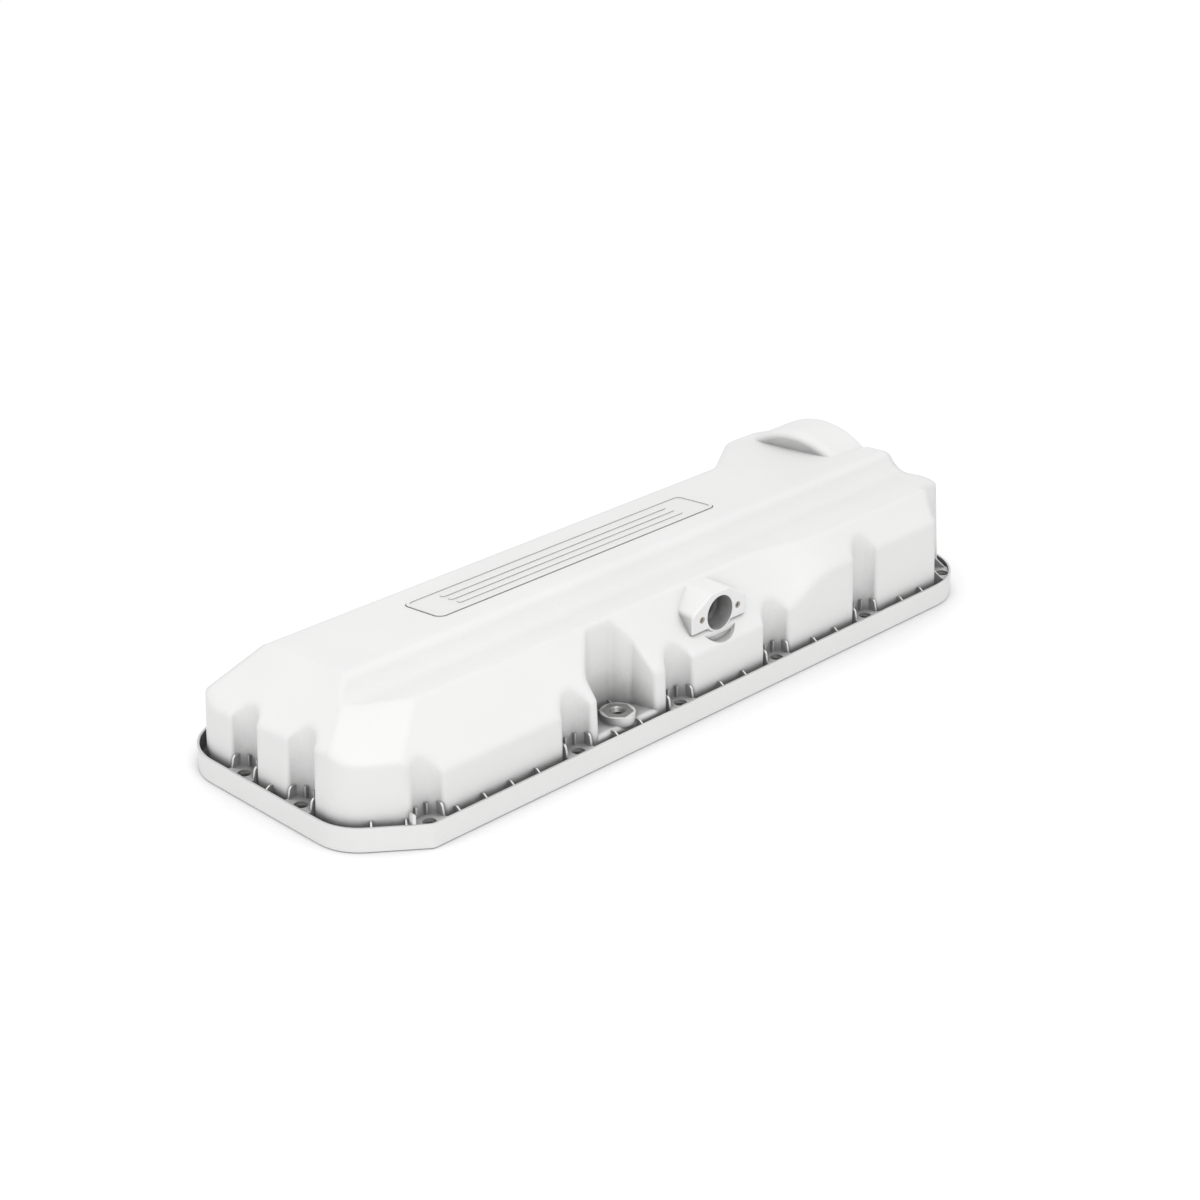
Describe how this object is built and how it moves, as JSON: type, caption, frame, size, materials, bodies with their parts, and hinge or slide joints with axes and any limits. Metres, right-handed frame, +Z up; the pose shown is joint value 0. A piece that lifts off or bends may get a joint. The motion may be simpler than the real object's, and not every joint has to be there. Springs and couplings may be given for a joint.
{
  "type": "engine valve cover",
  "caption": "Long moulded valve cover with a skirted flange, bolt limiters, a seal, a side port, a plain name plate and a domed end.",
  "frame": {"origin": "middle of the cover in plan, on the plane that the free seal rests on", "axes": "+X runs along the cover towards the domed end, +Z points up out of the cylinder head, -Y is the side with the port"},
  "size_m": [1.1, 0.382, 0.1899],
  "materials": {
    "moulded_polymer": "satin",
    "seal_rubber": "matte",
    "limiter_steel": "satin",
    "insert_brass": "satin",
    "plate_polymer": "satin"
  },
  "bodies": {
    "root": {"cover_shell": "moulded_polymer", "perimeter_gasket": "seal_rubber", "hex_insert": "limiter_steel", "port_insert_left": "insert_brass", "port_insert_right": "insert_brass", "name_plate": "plate_polymer", "bolt_limiter_01": "limiter_steel", "bolt_limiter_02": "limiter_steel", "bolt_limiter_03": "limiter_steel", "bolt_limiter_04": "limiter_steel", "bolt_limiter_05": "limiter_steel", "bolt_limiter_06": "limiter_steel", "bolt_limiter_07": "limiter_steel", "bolt_limiter_08": "limiter_steel", "bolt_limiter_09": "limiter_steel", "bolt_limiter_10": "limiter_steel", "bolt_limiter_11": "limiter_steel", "bolt_limiter_12": "limiter_steel", "bolt_limiter_13": "limiter_steel", "bolt_limiter_14": "limiter_steel", "bolt_limiter_15": "limiter_steel"}
  },
  "joints": []
}
